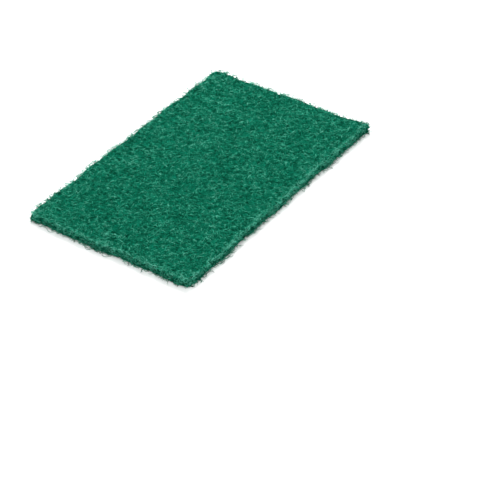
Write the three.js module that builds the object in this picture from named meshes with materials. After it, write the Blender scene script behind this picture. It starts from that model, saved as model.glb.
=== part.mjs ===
// A nylon scouring pad: one slab of bonded, non-woven fibre web, cut to a rectangle.
// The web has no layers and no core, so the pad is a single solid that lies on its underside.
// Millimetres, +Z up, origin below the pad's middle on the surface that it lies on.

import * as THREE from 'three';
import { mergeVertices } from 'three/addons/utils/BufferGeometryUtils.js';

// The cut slab
const LENGTH = 230;
const WIDTH = 139;
const THICKNESS = 8;

// Corner radii, cut and worn unevenly, going round from the corner at -X -Y
const NEAR_CORNER_RADIUS = 2.5;
const RIGHT_CORNER_RADIUS = 1.5;
const FAR_CORNER_RADIUS = 8;
const LEFT_CORNER_RADIUS = 3;

// The soft rim: how far the upper and lower rims draw in, and how square the cut side stays
const RIM_INSET = 1;
const RIM_SQUARENESS = 0.6;

// The left corner is pressed thin: how deep at its tip, and how far the dent reaches in
const THIN_CORNER_DEPTH = 3.2;
const THIN_CORNER_REACH = 11;

// The cut wavers a little, because the web gives under the blade
const LONG_CUT_WAVER = 1;
const SHORT_CUT_WAVER = 0.9;
const WAVER_SPACING = 74;
const SLOW_WAVER_SHARE = 0.5;
const QUICK_WAVER_RATE = 2.3;
const WAVER_FADE_POWER = 3;

// Where the waves of the short and of the long cuts start, so that no two cuts waver alike
const SHORT_CUT_PHASE = 1;
const LONG_CUT_PHASE = 3;

// Fibre ends that stand out of the cut side, or are torn out of it
const NAP_DEPTH = 0.9;

// Hollows between the tufts of the web, coarse and fine, and the share of the noise that stays level
const CLUMP_SPACING = 17;
const CLUMP_DEPTH = 0.55;
const CLUMP_LEVEL_SHARE = 0.4;
const TUFT_SPACING = 6.5;
const TUFT_DEPTH = 0.7;
const TUFT_LEVEL_SHARE = 0.5;

// The middle of the underside is pressed flat where the pad lies
const REST_SPOT_RADIUS = 24;
const REST_SPOT_FADE = 12;

// Facets along the length, across the width and up the side
const LENGTH_CELLS = 62;
const WIDTH_CELLS = 37;
const SIDE_CELLS = 4;

// Each face and the nap draw their own noise
const UPPER_SEED = 3;
const UNDERSIDE_SEED = 20;
const NAP_SEED = 7;

// How near to the plain box's side a point counts as on it
const ON_CUT = 1e-3;

const WEB_COLOUR = 0x187558;

const webMaterial = new THREE.MeshStandardMaterial({
  name: 'nylon_web',
  color: WEB_COLOUR,
  roughness: 0.9,
  metalness: 0,
});

// A repeatable number from 0 to 1 for a lattice point
function scatter(column, row, seed) {
  const wave = Math.sin(column * 127.1 + row * 311.7 + seed * 74.7) * 43758.5453;
  return wave - Math.floor(wave);
}

// The noise along one row of the lattice
function rowNoise(u, row, seed) {
  const column = Math.floor(u);
  const across = THREE.MathUtils.smoothstep(u - column, 0, 1);
  return THREE.MathUtils.lerp(scatter(column, row, seed), scatter(column + 1, row, seed), across);
}

// Smooth noise from 0 to 1 over the plane, one hump or hollow for each step of the lattice
function webNoise(u, v, seed) {
  const row = Math.floor(v);
  const along = THREE.MathUtils.smoothstep(v - row, 0, 1);
  return THREE.MathUtils.lerp(rowNoise(u, row, seed), rowNoise(u, row + 1, seed), along);
}

// How deep the face lies below its highest tufts, which all reach one plane
function hollow(x, y, seed) {
  const clump = webNoise(x / CLUMP_SPACING, y / CLUMP_SPACING, seed);
  const tuft = webNoise(x / TUFT_SPACING, y / TUFT_SPACING, seed + 1);
  const clumpDepth = CLUMP_DEPTH * THREE.MathUtils.smoothstep(clump, CLUMP_LEVEL_SHARE, 1);
  const tuftDepth = TUFT_DEPTH * THREE.MathUtils.smoothstep(tuft, TUFT_LEVEL_SHARE, 1);
  return clumpDepth + tuftDepth;
}

function cornerRadius(x, y) {
  if (x < 0) return y < 0 ? NEAR_CORNER_RADIUS : LEFT_CORNER_RADIUS;
  return y < 0 ? RIGHT_CORNER_RADIUS : FAR_CORNER_RADIUS;
}

// Bends the grid's square corners into arcs, ring by ring about each corner's centre
function roundCorner(point) {
  const radius = cornerRadius(point.x, point.y);
  const centreX = LENGTH / 2 - radius;
  const centreY = WIDTH / 2 - radius;
  const pastX = Math.abs(point.x) - centreX;
  const pastY = Math.abs(point.y) - centreY;
  if (pastX <= 0 || pastY <= 0) return;
  const share = Math.max(pastX, pastY) / Math.hypot(pastX, pastY);
  point.x = Math.sign(point.x) * (centreX + pastX * share);
  point.y = Math.sign(point.y) * (centreY + pastY * share);
}

// The side's section is half a squared ellipse, from the lower rim at -1 to the upper rim at 1
function sideSection(level) {
  const turn = (level * Math.PI) / 2;
  const rise = Math.abs(Math.sin(turn)) ** RIM_SQUARENESS;
  const reach = Math.max(0, Math.cos(turn)) ** RIM_SQUARENESS;
  return { height: (Math.sign(level) * rise * THICKNESS) / 2, inset: RIM_INSET * (1 - reach) };
}

// A slow and a quick wave along one cut, between -1 and 1
function waver(along, phase) {
  const turn = (along / WAVER_SPACING) * 2 * Math.PI + phase;
  const slow = SLOW_WAVER_SHARE * Math.sin(turn);
  const quick = (1 - SLOW_WAVER_SHARE) * Math.sin(QUICK_WAVER_RATE * turn + 2 * phase);
  return slow + quick;
}

// Moves each cut in and out along its length, fading to nothing at the pad's middle
function waverCuts(point) {
  const { x, y } = point;
  const shareX = (x / (LENGTH / 2)) ** WAVER_FADE_POWER;
  const shareY = (y / (WIDTH / 2)) ** WAVER_FADE_POWER;
  point.x += shareX * SHORT_CUT_WAVER * waver(y, Math.sign(x) + SHORT_CUT_PHASE);
  point.y += shareY * LONG_CUT_WAVER * waver(x, Math.sign(y) + LONG_CUT_PHASE);
}

// Pushes the cut side's points in or out, each by its own amount
function raiseNap(point, outX, outY) {
  const throwOut = NAP_DEPTH * (scatter(point.x + point.z, point.y, NAP_SEED) - 0.5);
  const reach = Math.hypot(outX, outY);
  point.x += (throwOut * outX) / reach;
  point.y += (throwOut * outY) / reach;
}

// How far the left corner's dent lowers the upper face
function cornerDent(x, y) {
  const away = Math.hypot(x + LENGTH / 2, y - WIDTH / 2);
  return THIN_CORNER_DEPTH * (1 - THREE.MathUtils.smoothstep(away, 0, THIN_CORNER_REACH));
}

// 0 on the pressed spot in the middle of the underside, 1 where the web keeps its hollows
function looseness(x, y) {
  return THREE.MathUtils.smoothstep(Math.hypot(x, y), REST_SPOT_RADIUS, REST_SPOT_RADIUS + REST_SPOT_FADE);
}

// Takes a point of the plain box to its place on the pad
function placePoint(point) {
  const outX = Math.abs(point.x) > LENGTH / 2 - ON_CUT ? Math.sign(point.x) : 0;
  const outY = Math.abs(point.y) > WIDTH / 2 - ON_CUT ? Math.sign(point.y) : 0;
  const level = point.z / (THICKNESS / 2);
  const onCut = outX !== 0 || outY !== 0;
  const { height, inset } = sideSection(level);

  roundCorner(point);
  point.x *= 1 - inset / (LENGTH / 2);
  point.y *= 1 - inset / (WIDTH / 2);
  waverCuts(point);
  point.z = height - cornerDent(point.x, point.y) * (height / THICKNESS + 0.5);
  if (onCut) {
    raiseNap(point, outX, outY);
    return;
  }
  if (level > 0) point.z -= hollow(point.x, point.y, UPPER_SEED);
  else point.z += looseness(point.x, point.y) * hollow(point.x, point.y, UNDERSIDE_SEED);
}

function slabGeometry() {
  const box = new THREE.BoxGeometry(LENGTH, WIDTH, THICKNESS, LENGTH_CELLS, WIDTH_CELLS, SIDE_CELLS);
  box.deleteAttribute('normal');
  box.deleteAttribute('uv');
  const slab = mergeVertices(box);
  const place = slab.getAttribute('position');
  const point = new THREE.Vector3();
  for (let i = 0; i < place.count; i += 1) {
    point.fromBufferAttribute(place, i);
    placePoint(point);
    place.setXYZ(i, point.x, point.y, point.z);
  }
  return slab;
}

// Sets the slab on the surface, with the middle of its outline over the origin
function layOnSurface(slab) {
  slab.computeBoundingBox();
  const middle = slab.boundingBox.getCenter(new THREE.Vector3());
  slab.translate(-middle.x, -middle.y, -slab.boundingBox.min.z);
  slab.computeVertexNormals();
  return slab;
}

const pad = new THREE.Mesh(layOnSurface(slabGeometry()), webMaterial);
pad.name = 'scouring_pad';

const part = new THREE.Group();
part.add(pad);

export default part;
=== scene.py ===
import math

import bmesh
import bpy
import numpy as np
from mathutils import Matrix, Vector, noise
from mathutils.bvhtree import BVHTree


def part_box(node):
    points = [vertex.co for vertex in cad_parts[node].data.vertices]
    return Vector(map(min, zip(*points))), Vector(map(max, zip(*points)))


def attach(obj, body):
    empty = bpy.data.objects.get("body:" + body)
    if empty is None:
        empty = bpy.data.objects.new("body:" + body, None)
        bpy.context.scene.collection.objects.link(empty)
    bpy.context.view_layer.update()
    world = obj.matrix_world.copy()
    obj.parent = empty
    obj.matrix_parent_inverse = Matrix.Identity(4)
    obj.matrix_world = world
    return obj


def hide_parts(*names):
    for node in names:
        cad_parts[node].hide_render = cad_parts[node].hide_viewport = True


# A scouring pad of bonded, crimped nylon fibres. The felted body is the CAD slab with its fine
# tufts and pits, and loose strands lie over both faces and round the cut side.

MM = 0.001
SEED = 41

# The photograph's line of sight: its lens, and where the camera stands in the pad's own frame
LENS_MM = 142.6
SENSOR_MM = 36.0
CAMERA_PLACE = (-0.9588, -0.6927, 0.8323)
CAMERA_TILT = math.radians(52.72)
CAMERA_TURN = math.radians(-55.80)
CAMERA_FAR_CLIP = 50

# The studio: each soft box's place, width and power, the room's brightness, and the pale floor
SOFT_BOXES = {
    "key_light": {"place": (-0.5, -0.3, 1.45), "size": 0.9, "power": 12.5},
    "back_light": {"place": (0.55, 0.38, 0.90), "size": 0.5, "power": 11},
}
ROOM_BRIGHTNESS = 0.58
FLOOR_RADIUS = 9.0
FLOOR_SIDES = 96
FLOOR_MOTTLE_SPACING = 0.2
FLOOR_COLOURS = [(0.0, (0.93, 0.93, 0.93)), (1.0, (0.96, 0.96, 0.96))]

# The strands' colours from shade 0 to 1, with the mottling and the fine bumps of their resin
STRAND_COLOURS = [
    (0.0, (0.000, 0.070, 0.036)),
    (0.4, (0.007, 0.217, 0.125)),
    (0.7, (0.038, 0.348, 0.222)),
    (1.0, (0.115, 0.505, 0.360)),
]
MOTTLE_SPACING = 1.1 * MM
MOTTLE_STRENGTH = 0.9
STRAND_ROUGHNESS = (0.45, 0.8)
RESIN_SPACING = 0.22 * MM
RESIN_HEIGHT = 0.05 * MM

# The felt's colours from its depth, darkest as painted shade between the fibres, to its crossing fibres,
# which run four ways
FELT_COLOURS = [
    (0.50, (0.000, 0.050, 0.025)),
    (0.62, (0.000, 0.100, 0.055)),
    (0.78, (0.002, 0.170, 0.100)),
]
FELT_FIBRE_TURNS = (0.2, 0.95, 1.7, 2.5)
FELT_FIBRE_STRETCH = (0.2, 1.0, 0.5)
FELT_FIBRE_SPACING = 0.7 * MM
FELT_FIBRE_HEIGHT = 0.25 * MM
FELT_ROUGHNESS = (0.95, 0.6)
WEB_SPECULAR = 0.02

# The felted body: its pits and tufts, and its ragged cut side, drawn in to leave room for the fibre ends
MERGE_DISTANCE = 0.001 * MM
QUAD_ANGLE = math.radians(60)
BODY_SUBDIVISIONS = 2
BODY_SMOOTHINGS = 2
CORNER_REACH = 9 * MM
RIGHT_CORNER_PULL = 2.0 * MM
RIGHT_CORNER_REACH = 32 * MM
PIT_SPACING = 2.8 * MM
PIT_DEPTH = 0.7 * MM
PIT_LEVEL = 0.5
FINE_PIT_RATE = 2.1
FINE_PIT_SHARE = 0.6
TUFT_SPACING = 1.5 * MM
TUFT_HEIGHT = 0.22 * MM
NAP_SPACING = 1.5 * MM
NAP_HEIGHT = 1.3 * MM
CUT_SINK = 1.5 * MM
UNDER_ROOM = 0.4 * MM

# Strands on the faces: short stout ones that make the ground, and long fine ones over them
SHORT = {
    "steps": 4,
    "length": (3 * MM, 8 * MM),
    "radius": (0.15 * MM, 0.27 * MM),
    "arch": (0.20 * MM, 1.45 * MM),
    "shade": (0.18, 0.82),
}
LONG = {
    "steps": 8,
    "length": (8 * MM, 18 * MM),
    "radius": (0.10 * MM, 0.17 * MM),
    "arch": (0.20 * MM, 1.10 * MM),
    "shade": (0.16, 0.70),
}
UPPER_SHORT = 7600
UPPER_LONG = 3900
UNDER_SHORT = 3900
UNDER_LONG = 1900
SPARE_STRANDS = 1.12

# How a face strand wanders, arches and leans, and how far it may lie past the cut
STRAND_BEND = math.radians(95)
STRAND_CRIMP = math.radians(40)
CRIMP_WAVES = (0.8, 2.2)
STRAND_SINK = 0.30 * MM
STRAND_LEAN = 0.6
STRAND_RIPPLE = 0.30 * MM
RIPPLE_WAVES = (0.8, 2.4)
OVERHANG = (-3.4 * MM, 3.8 * MM)
OVERHANG_DROP = 0.4 * MM
RAY_START = 20 * MM
RAY_LENGTH = 30 * MM

# Strands along the cut side, pressed to it
CUT_BAND = 4 * MM
CUT_STRANDS = 2500
CUT_STEPS = 4
CUT_RADIUS = (0.12 * MM, 0.22 * MM)
CUT_LENGTH = (3 * MM, 7 * MM)
CUT_LIFT = (-0.10 * MM, 0.30 * MM)
CUT_SLOPE = math.radians(38)
CUT_SLOPE_SHARE = 0.5
CUT_WANDER_SHARE = 0.6
CUT_UPRIGHT = 0.8

# Fibre ends that curl out of the cut side and, most of them, out of its rims
WHISKERS = 500
RIM_WHISKERS = 4500
RIM_REACH = 2.2 * MM
BUNCH = 2
BUNCH_SPREAD = 0.4 * MM
BUNCH_AIM_SPREAD = 0.5
END_AIM_SPREAD = 0.3
WHISKER_STEPS = 4
WHISKER_ROOT = -0.2
WHISKER_REACH = (1.3 * MM, 3.5 * MM)
WHISKER_TURN = (0.3, 1.5)
WHISKER_RADIUS = (0.09 * MM, 0.17 * MM)

# Shades: a cut strand's or a fibre end's own, what its place in a cloud of the web changes, and the painted
# shade of a pit;
# paler cut strands and rim, partly worn fibre ends and partly a painted highlight; and painted shade on the
# fibre ends, at the foot of the side and on the fringe past the cut
CUT_SHADE = (0.14, 0.84)
CUT_PALE_ENDS_AND_HIGHLIGHT = 0.20
WHISKER_PAINTED_SHADE = 0.1
PIT_PAINTED_SHADE = 0.60
SHADED_PIT_LEVEL = 0.45
CLOUD_SPACING = 15 * MM
CLOUD_SHADE = 0.07
RIM_WIDTH = 3.6 * MM
RIM_WEAR_AND_HIGHLIGHT = 0.48
FOOT_PAINTED_SHADE = 0.35
FRINGE_WIDTH = 1.5 * MM
FRINGE_PAINTED_SHADE = 0.55

# Tubes: their sides and how they thin out at the ends, and how shades are spread over the UV map
TUBE_SIDES = 3
TAPER_POWER = 6
TAPER_LEAST = 0.12
UV_MARGIN = 0.02
UV_WIDTH = 0.9
LEAST_SHADE = -0.5
SHADE_SPAN = 2

random = np.random.default_rng(SEED)
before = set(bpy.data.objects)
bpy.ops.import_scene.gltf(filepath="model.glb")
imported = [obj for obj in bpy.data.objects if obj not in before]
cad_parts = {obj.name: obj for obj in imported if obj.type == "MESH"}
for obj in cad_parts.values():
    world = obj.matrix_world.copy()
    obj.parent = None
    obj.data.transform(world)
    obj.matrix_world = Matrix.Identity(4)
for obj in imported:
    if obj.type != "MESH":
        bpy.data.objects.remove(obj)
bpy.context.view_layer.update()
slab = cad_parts["scouring_pad"]
slab_low, slab_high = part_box("scouring_pad")
THICKNESS = slab_high.z - slab_low.z


def between(limits, shape):
    """Random values between two limits."""
    return random.uniform(limits[0], limits[1], shape)


def unit(vectors):
    """The vectors scaled to length 1."""
    return vectors / np.linalg.norm(vectors, axis=-1, keepdims=True)


# Places on the pad

def cut_lines():
    """The slab's four cuts at mid-height: the axis each runs along, its side, and its points."""
    points = np.array([vertex.co for vertex in slab.data.vertices])
    middle = points[np.abs(points[:, 2] - THICKNESS / 2) < THICKNESS / 4]
    lines = []
    for axis, side in ((0, -1), (0, 1), (1, -1), (1, 1)):
        across = 1 - axis
        near = middle[np.abs(middle[:, across] - side * slab_high[across]) < CUT_BAND]
        near = near[np.argsort(near[:, axis])]
        lines.append((axis, side, near[:, axis], near[:, across]))
    return lines


def inset(points):
    """How far inside the nearest cut each point is."""
    gaps = [
        side * (np.interp(points[..., axis], along, place) - points[..., 1 - axis])
        for axis, side, along, place in CUT_LINES
    ]
    return np.min(gaps, axis=0)


# Materials

def add_node(tree, kind, inputs=None, **settings):
    """A shader node with its settings, its unlinked values and its links."""
    made = tree.nodes.new(kind)
    for name, value in settings.items():
        setattr(made, name, value)
    for name, value in (inputs or {}).items():
        if isinstance(value, bpy.types.NodeSocket):
            tree.links.new(value, made.inputs[name])
        else:
            made.inputs[name].default_value = value
    return made


def new_material(name):
    """A material with an empty node tree, and that tree."""
    material = bpy.data.materials.new(name)
    material.use_nodes = True
    material.node_tree.nodes.clear()
    return material, material.node_tree


def ramp(tree, factor, stops):
    """A colour ramp with a stop for each (place, colour)."""
    made = add_node(tree, "ShaderNodeValToRGB", {"Fac": factor})
    elements = made.color_ramp.elements
    while len(elements) < len(stops):
        elements.new(0.5)
    for element, (place, colour) in zip(elements, stops):
        element.position = place
        element.color = (*colour, 1.0)
    return made.outputs["Color"]


def grain(tree, spacing, detail=2.0, stretch=(1, 1, 1), turn=0.0):
    """Noise over the object's own coordinates, with one lump for each spacing."""
    place = add_node(tree, "ShaderNodeTexCoord").outputs["Object"]
    mapping = add_node(tree, "ShaderNodeMapping", {"Vector": place})
    mapping.inputs["Rotation"].default_value = (0.0, 0.0, turn)
    turned = add_node(tree, "ShaderNodeVectorMath", {0: mapping.outputs[0]}, operation="MULTIPLY")
    turned.inputs[1].default_value = stretch
    texture = {"Vector": turned.outputs[0], "Scale": 1 / spacing, "Detail": detail}
    return add_node(tree, "ShaderNodeTexNoise", texture).outputs["Fac"]


def roughness(tree, factor, limits):
    """A roughness that follows a factor from 0 to 1."""
    settings = {"Value": factor, "To Min": limits[0], "To Max": limits[1]}
    return add_node(tree, "ShaderNodeMapRange", settings).outputs["Result"]


def finish_material(tree, colour, rough, bumps, bump_height):
    """A matte surface with the given colour, roughness and bumps."""
    bump = add_node(tree, "ShaderNodeBump", {"Height": bumps, "Distance": bump_height, "Strength": 1.0})
    shader = add_node(
        tree,
        "ShaderNodeBsdfPrincipled",
        {"Base Color": colour, "Roughness": rough, "Normal": bump.outputs["Normal"]},
    )
    shader.inputs["Specular IOR Level"].default_value = WEB_SPECULAR
    add_node(tree, "ShaderNodeOutputMaterial", {"Surface": shader.outputs["BSDF"]})


def strand_material():
    """Resin-coated nylon: deep emerald, paler where the strand's own shade is light."""
    material, tree = new_material("nylon_strand")
    shade = add_node(tree, "ShaderNodeAttribute", attribute_name="shade").outputs["Fac"]
    mottle = grain(tree, MOTTLE_SPACING)
    mottled = add_node(tree, "ShaderNodeMath", {0: mottle, 1: 0.5}, operation="SUBTRACT").outputs[0]
    mixing = {0: mottled, 1: MOTTLE_STRENGTH, 2: shade}
    mixed = add_node(tree, "ShaderNodeMath", mixing, operation="MULTIPLY_ADD").outputs[0]
    colour = ramp(tree, mixed, STRAND_COLOURS)
    rough = roughness(tree, mottle, STRAND_ROUGHNESS)
    finish_material(tree, colour, rough, grain(tree, RESIN_SPACING), RESIN_HEIGHT)
    return material


def felt_material():
    """The felted depth below the loose strands: dark, with painted shade between thin fibres crossing each
    other.
    """
    material, tree = new_material("nylon_felt")
    streaks = [
        grain(tree, FELT_FIBRE_SPACING, detail=1.0, stretch=FELT_FIBRE_STRETCH, turn=turn)
        for turn in FELT_FIBRE_TURNS
    ]
    fibres = streaks[0]
    for streak in streaks[1:]:
        fibres = add_node(tree, "ShaderNodeMath", {0: fibres, 1: streak}, operation="MAXIMUM").outputs[0]
    # Darkest where no fibre streak crosses: painted shade of the web's depth
    colour = ramp(tree, fibres, FELT_COLOURS)
    finish_material(tree, colour, roughness(tree, fibres, FELT_ROUGHNESS), fibres, FELT_FIBRE_HEIGHT)
    return material


# The felted body

def softness(point):
    """1 along the cuts and over the faces, falling to 0 at the corners, which stay firm."""
    away = math.hypot(slab_high.x - abs(point.x), slab_high.y - abs(point.y))
    return min(1.0, away / CORNER_REACH)


def right_corner_pull(point):
    """How far the corner at +X -Y is drawn out along both axes."""
    away = math.hypot(slab_high.x - point.x, point.y - slab_low.y)
    share = max(0.0, 1 - away / RIGHT_CORNER_REACH)
    return RIGHT_CORNER_PULL * share * share * (3 - 2 * share)


def refined_slab():
    """The CAD slab as smooth quads, fine enough for its tufts."""
    mesh = slab.data.copy()
    work = bmesh.new()
    work.from_mesh(mesh)
    bmesh.ops.remove_doubles(work, verts=work.verts, dist=MERGE_DISTANCE)
    bmesh.ops.join_triangles(
        work,
        faces=work.faces,
        angle_face_threshold=QUAD_ANGLE,
        angle_shape_threshold=QUAD_ANGLE,
    )
    work.to_mesh(mesh)
    work.free()
    rough = bpy.data.objects.new("pad_rough", mesh)
    bpy.context.scene.collection.objects.link(rough)
    soft = rough.vertex_groups.new(name="soft")
    for vertex in mesh.vertices:
        soft.add([vertex.index], softness(vertex.co), "REPLACE")
    cuts = rough.modifiers.new("cuts", "SUBSURF")
    cuts.subdivision_type = "SIMPLE"
    cuts.levels = cuts.render_levels = BODY_SUBDIVISIONS
    smooth = rough.modifiers.new("smooth", "SMOOTH")
    smooth.iterations = BODY_SMOOTHINGS
    smooth.vertex_group = soft.name
    depsgraph = bpy.context.evaluated_depsgraph_get()
    fine = bpy.data.meshes.new_from_object(rough.evaluated_get(depsgraph))
    bpy.data.objects.remove(rough)
    return fine


def pit(point):
    """How deep in a pit of the web a point is, from 0 to 1."""
    coarse = noise.noise(Vector(point) / PIT_SPACING)
    fine = noise.noise(Vector(point) * FINE_PIT_RATE / PIT_SPACING)
    return max(0.0, min(1.0, PIT_LEVEL - coarse - FINE_PIT_SHARE * fine))


def make_body():
    """The refined slab with pits and tufts along its normals, resting on the floor."""
    mesh = refined_slab()
    mesh.name = "pad_body"
    normals = [vertex.normal.copy() for vertex in mesh.vertices]
    for vertex, normal in zip(mesh.vertices, normals):
        tuft = TUFT_HEIGHT * noise.noise(vertex.co / TUFT_SPACING)
        outward = math.hypot(normal.x, normal.y)
        nap = outward * (NAP_HEIGHT * noise.noise(vertex.co / NAP_SPACING) - CUT_SINK * softness(vertex.co))
        pull = right_corner_pull(vertex.co)
        vertex.co += normal * (tuft + nap - PIT_DEPTH * pit(vertex.co)) + Vector((pull, -pull, 0))
        vertex.co.z = max(vertex.co.z, slab_low.z + UNDER_ROOM)
    mesh.polygons.foreach_set("use_smooth", [True] * len(mesh.polygons))
    mesh.materials.clear()
    mesh.materials.append(felt_material())
    body = bpy.data.objects.new("pad_body", mesh)
    bpy.context.scene.collection.objects.link(body)
    return body


# Strands

def crimped_path(count, steps, length_limits):
    """Flat wandering paths about (0, 0), as arrays of count by steps + 1, each with a bend and a crimp."""
    s = np.linspace(0, 1, steps + 1)[None, :-1]
    turn = random.uniform(0, 2 * math.pi, (count, 1))
    bend = random.normal(0, STRAND_BEND, (count, 1))
    phase = random.uniform(0, 2 * math.pi, (count, 1))
    waves = between(CRIMP_WAVES, (count, 1))
    heading = turn + bend * (s - 0.5) + STRAND_CRIMP * np.sin(2 * math.pi * waves * s + phase)
    step = between(length_limits, (count, 1)) / steps
    path = np.zeros((count, steps + 1, 2))
    path[:, 1:, 0] = np.cumsum(step * np.cos(heading), axis=1)
    path[:, 1:, 1] = np.cumsum(step * np.sin(heading), axis=1)
    return path - path.mean(axis=1, keepdims=True)


def kept_on_face(path):
    """Slides each path in until it overhangs the cuts a little, or stops a little short of them."""
    for axis, side, along, place in CUT_LINES:
        gap = side * (np.interp(path[..., axis], along, place) - path[..., 1 - axis])
        over = between(OVERHANG, len(path))
        path[..., 1 - axis] -= side * np.maximum(-gap.min(axis=1) - over, 0)[:, None]
    return path


def laid_on_face(tree, path, side):
    """Heights of the body under each path, seen from above or below, and which paths lie on it."""
    heights = np.empty(path.shape[:2])
    on_pad = np.ones(len(path), bool)
    level = slab_high.z if side > 0 else slab_low.z
    start = level + side * RAY_START
    reach = OVERHANG[1] + CUT_SINK
    for i, j in np.ndindex(*heights.shape):
        x, y = path[i, j]
        hit = tree.ray_cast(Vector((x, y, start)), Vector((0, 0, -side)), RAY_LENGTH)[0]
        if hit is not None and abs(hit.z - level) < THICKNESS / 3:
            heights[i, j] = hit.z
            continue
        heights[i, j] = level - side * OVERHANG_DROP
        away = tree.find_nearest(Vector((x, y, level - side * THICKNESS / 4)))[3]
        if away > reach:
            on_pad[i] = False
    return heights, on_pad


def shades_at(points, own):
    """Each point's shade: the strand's own, changed by its place on the pad: painted shade in pits, at the
    foot of the side and past the cut, and a rim that is partly painted highlight.
    """
    shades = np.repeat(own[:, None], points.shape[1], axis=1)
    # Strands in pits are darkened as painted shade; the clouds are the web's own uneven tone
    for i, j in np.ndindex(*shades.shape):
        cloud = noise.noise(Vector(points[i, j]) / CLOUD_SPACING)
        shades[i, j] += CLOUD_SHADE * cloud - PIT_PAINTED_SHADE * (pit(points[i, j]) - SHADED_PIT_LEVEL)
    # Paler near the cut: partly worn fibre ends, partly a painted highlight where light catches the rim
    rim = np.clip(1 - inset(points) / RIM_WIDTH, 0, 1)
    # Painted shade on strands that stray past the cut, darker the further out they lie
    stray = np.clip(-inset(points) / FRINGE_WIDTH, 0, 1)
    # Painted shade at the foot of the cut side, darker towards the floor
    foot = np.clip(1 - (points[..., 2] - slab_low.z) / (THICKNESS / 2), 0, 1)
    return shades + RIM_WEAR_AND_HIGHLIGHT * rim - FOOT_PAINTED_SHADE * rim * foot - FRINGE_PAINTED_SHADE * stray


def tube_mesh(name, points, radii, shades):
    """One mesh of closed tubes along points (strands, steps, 3), thinner at their ends."""
    count, steps, _ = points.shape
    along = unit(np.gradient(points, axis=1))
    across = unit(np.cross(along, random.normal(size=(count, 1, 3))))
    over = np.cross(along, across)
    taper = np.sqrt(np.clip(1 - np.abs(np.linspace(-1, 1, steps)) ** TAPER_POWER, TAPER_LEAST, 1))
    size = radii[:, None] * taper[None]
    turns = 2 * math.pi * np.arange(TUBE_SIDES) / TUBE_SIDES
    rings = [
        points + size[..., None] * (math.cos(turn) * across + math.sin(turn) * over)
        for turn in turns
    ]
    corners = np.stack(rings, axis=2).reshape(-1, 3)
    first = np.arange(count)[:, None] * steps * TUBE_SIDES
    ring = first[:, :, None] + TUBE_SIDES * np.arange(steps - 1)[None, :, None]
    ring_after = ring + TUBE_SIDES
    side = np.arange(TUBE_SIDES)[None, None]
    side_after = (side + 1) % TUBE_SIDES
    quads = np.stack(
        [ring + side, ring + side_after, ring_after + side_after, ring_after + side],
        axis=-1,
    )
    end = first + TUBE_SIDES * (steps - 1)
    caps = np.concatenate([first + np.arange(TUBE_SIDES)[::-1], end + np.arange(TUBE_SIDES)])
    mesh = bpy.data.meshes.new(name)
    mesh.from_pydata(corners.tolist(), [], quads.reshape(-1, 4).tolist() + caps.tolist())
    mesh.polygons.foreach_set("use_smooth", [True] * len(mesh.polygons))
    shade = mesh.attributes.new("shade", "FLOAT", "POINT")
    shade.data.foreach_set("value", np.repeat(shades.reshape(-1), TUBE_SIDES))
    map_by_shade(mesh, shades)
    return mesh


def map_by_shade(mesh, shades):
    """A UV map named OFBake with each strand's shade along U and its place along the strand along V."""
    count, steps = shades.shape
    u = UV_MARGIN + UV_WIDTH * np.clip((shades - LEAST_SHADE) / SHADE_SPAN, 0, 1)
    v = np.broadcast_to(np.linspace(UV_MARGIN, 1 - UV_MARGIN, steps), shades.shape)
    places = np.stack(
        [np.repeat(u.reshape(-1), TUBE_SIDES), np.repeat(v.reshape(-1), TUBE_SIDES)],
        axis=-1,
    )
    places[:, 0] += np.tile(np.arange(TUBE_SIDES) * UV_MARGIN, count * steps)
    corners = np.empty(len(mesh.loops), int)
    mesh.loops.foreach_get("vertex_index", corners)
    layer = mesh.uv_layers.new(name="OFBake")
    layer.uv.foreach_set("vector", places[corners].astype(np.float32).reshape(-1))


def strand_piece(name, parts):
    """One object of several sets of tubes, each (points, radii, shades)."""
    meshes = [tube_mesh(name, *part) for part in parts]
    piece = bpy.data.objects.new(name, meshes[0])
    bpy.context.scene.collection.objects.link(piece)
    if len(meshes) > 1:
        joined = bmesh.new()
        for mesh in meshes:
            joined.from_mesh(mesh)
        joined.to_mesh(meshes[0])
        joined.free()
    meshes[0].materials.append(STRAND_MATERIAL)
    return piece


def face_strands(tree, count, side, kind):
    """Strands that lie across one face, arching out of the felt and sinking back into it."""
    spare = int(count * SPARE_STRANDS)
    path = crimped_path(spare, kind["steps"], kind["length"])
    middle = np.stack(
        [
            between((slab_low.x, slab_high.x), spare),
            between((slab_low.y, slab_high.y), spare),
        ],
        axis=-1,
    )
    path = kept_on_face(path + middle[:, None])
    heights, on_pad = laid_on_face(tree, path, side)
    s = np.linspace(-1, 1, kind["steps"] + 1)[None]
    arch = between(kind["arch"], (spare, 1))
    lean = between((-STRAND_LEAN, STRAND_LEAN), (spare, 1))
    waves = between(RIPPLE_WAVES, (spare, 1))
    ripple = STRAND_RIPPLE * random.random((spare, 1)) * np.sin(math.pi * waves * (s + 2 * lean))
    rise = arch * (1 - s**2) * (1 + lean * s) + ripple - STRAND_SINK
    heights += side * rise
    heights = np.maximum(heights, slab_low.z + kind["radius"][1])
    points = np.concatenate([path, heights[..., None]], axis=2)[on_pad][:count]
    shades = shades_at(points, between(kind["shade"], len(points)))
    return points, between(kind["radius"], len(points)), shades


def places_on(body, count, rims_only=False):
    """Random places on the body's cut side, or on its two rims, with their normals."""
    polygons = body.data.polygons
    centres = np.empty(len(polygons) * 3)
    normals = np.empty(len(polygons) * 3)
    areas = np.empty(len(polygons))
    polygons.foreach_get("center", centres)
    polygons.foreach_get("normal", normals)
    polygons.foreach_get("area", areas)
    centres = centres.reshape(-1, 3)
    normals = normals.reshape(-1, 3)
    depth = inset(centres)
    if rims_only:
        height = np.abs(centres[:, 2] - THICKNESS / 2)
        weight = areas * (depth < RIM_REACH) * (height > THICKNESS / 2 - RIM_REACH)
    else:
        weight = areas * (np.abs(normals[:, 2]) < CUT_UPRIGHT) * (depth < RIM_REACH)
    chosen = random.choice(len(polygons), count, p=weight / weight.sum())
    return centres[chosen], normals[chosen]


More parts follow.
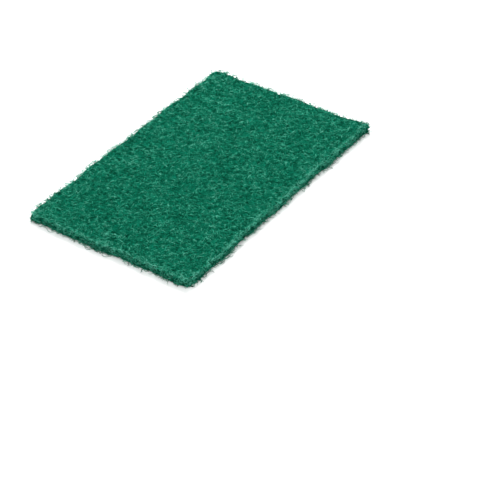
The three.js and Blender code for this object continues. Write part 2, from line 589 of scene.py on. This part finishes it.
def cut_strands(tree, body, count):
    """Strands that lie along the cut side, mostly level, pressed to it."""
    starts, normals = places_on(body, count)
    path = crimped_path(count, CUT_STEPS, CUT_LENGTH)
    level = unit(np.cross(normals, [0, 0, 1.0]))
    upward = np.cross(level, normals)
    slope = random.normal(0, CUT_SLOPE, (count, 1))
    run = path[..., :1] * level[:, None]
    wander = path[..., 1:] * CUT_WANDER_SHARE
    climb = (wander + path[..., :1] * np.sin(slope)[:, None] * CUT_SLOPE_SHARE) * upward[:, None]
    points = starts[:, None] + run + climb
    lift = between(CUT_LIFT, (count, CUT_STEPS + 1))
    for i, j in np.ndindex(*points.shape[:2]):
        place, normal, _, _ = tree.find_nearest(Vector(points[i, j]))
        points[i, j] = place + normal * lift[i, j]
    points[..., 2] = np.maximum(points[..., 2], slab_low.z + CUT_RADIUS[1])
    # Cut strands are paler: partly their cut fibre ends, partly a painted highlight on the cut side
    shades = shades_at(points, between(CUT_SHADE, count) + CUT_PALE_ENDS_AND_HIGHLIGHT)
    return points, between(CUT_RADIUS, count), shades


def whiskers(body, count, rims_only):
    """Fibre ends that curl a few together out of the cut side or the rims, each along an arc."""
    starts, normals = places_on(body, count // BUNCH, rims_only)
    starts = np.repeat(starts, BUNCH, axis=0) + BUNCH_SPREAD * random.normal(size=(count, 3))
    bunch_aim = unit(normals + BUNCH_AIM_SPREAD * random.normal(size=normals.shape))
    end_aim = np.repeat(bunch_aim, BUNCH, axis=0) + END_AIM_SPREAD * random.normal(size=(count, 3))
    aim = unit(end_aim)[:, None]
    lean = unit(np.cross(aim, random.normal(size=(count, 1, 3))))
    turn = between(WHISKER_TURN, (count, 1, 1))
    curve = between(WHISKER_REACH, (count, 1, 1)) / np.sin(np.minimum(turn, math.pi / 2))
    angle = turn * np.linspace(WHISKER_ROOT, 1, WHISKER_STEPS + 1)[None, :, None]
    points = starts[:, None] + curve * (np.sin(angle) * aim + (1 - np.cos(angle)) * lean)
    points[..., 2] = np.maximum(points[..., 2], slab_low.z + WHISKER_RADIUS[1])
    # Fibre ends are darkened as painted shade
    shades = shades_at(points, between(CUT_SHADE, count) - WHISKER_PAINTED_SHADE)
    return points, between(WHISKER_RADIUS, count), shades


def dress(piece):
    """Makes a piece ride with the pad."""
    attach(piece, "root")


# Floor, lights and camera

def make_floor():
    """A wide pale disc at the height that the pad lies on."""
    material, tree = new_material("pale_floor")
    colour = ramp(tree, grain(tree, FLOOR_MOTTLE_SPACING), FLOOR_COLOURS)
    shader = add_node(tree, "ShaderNodeBsdfPrincipled", {"Base Color": colour, "Roughness": 0.85})
    shader.inputs["Specular IOR Level"].default_value = 0.1
    add_node(tree, "ShaderNodeOutputMaterial", {"Surface": shader.outputs["BSDF"]})
    bpy.ops.mesh.primitive_circle_add(vertices=FLOOR_SIDES, radius=FLOOR_RADIUS, fill_type="NGON")
    floor = bpy.context.object
    floor.name = "floor"
    floor.data.materials.append(material)


def make_light(name, place, size, power):
    """A square soft box that faces the pad."""
    lamp = bpy.data.lights.new(name, "AREA")
    lamp.size = size
    lamp.energy = power
    light = bpy.data.objects.new(name, lamp)
    light.location = place
    light.rotation_euler = Vector(place).to_track_quat("Z", "Y").to_euler()
    bpy.context.scene.collection.objects.link(light)


def make_studio():
    """A bright, even room with a soft box above the camera's side and a weaker one behind the pad."""
    world = bpy.data.worlds.new("studio")
    world.use_nodes = True
    world.node_tree.nodes["Background"].inputs["Color"].default_value = (1, 1, 1, 1)
    world.node_tree.nodes["Background"].inputs["Strength"].default_value = ROOM_BRIGHTNESS
    bpy.context.scene.world = world
    for name, box in SOFT_BOXES.items():
        make_light(name, **box)
    bpy.context.scene.view_settings.view_transform = "Standard"


def make_camera():
    """The camera that sees the pad as the photograph does."""
    lens = bpy.data.cameras.new("photo_camera")
    lens.lens = LENS_MM
    lens.sensor_width = SENSOR_MM
    lens.clip_end = CAMERA_FAR_CLIP
    camera = bpy.data.objects.new("photo_camera", lens)
    camera.location = CAMERA_PLACE
    camera.rotation_euler = (CAMERA_TILT, 0, CAMERA_TURN)
    bpy.context.scene.collection.objects.link(camera)
    bpy.context.scene.camera = camera


# The pad and its studio

CUT_LINES = cut_lines()
STRAND_MATERIAL = strand_material()
body = make_body()
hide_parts("scouring_pad")
surface = BVHTree.FromObject(body, bpy.context.evaluated_depsgraph_get())
pieces = [
    body,
    strand_piece("upper_web_a", [face_strands(surface, UPPER_SHORT, 1, SHORT)]),
    strand_piece("upper_web_b", [face_strands(surface, UPPER_LONG, 1, LONG)]),
    strand_piece(
        "underside_web",
        [
            face_strands(surface, UNDER_SHORT, -1, SHORT),
            face_strands(surface, UNDER_LONG, -1, LONG),
        ],
    ),
    strand_piece(
        "cut_web",
        [
            cut_strands(surface, body, CUT_STRANDS),
            whiskers(body, WHISKERS, rims_only=False),
            whiskers(body, RIM_WHISKERS, rims_only=True),
        ],
    ),
]
for piece in pieces:
    dress(piece)

make_floor()
make_studio()
make_camera()
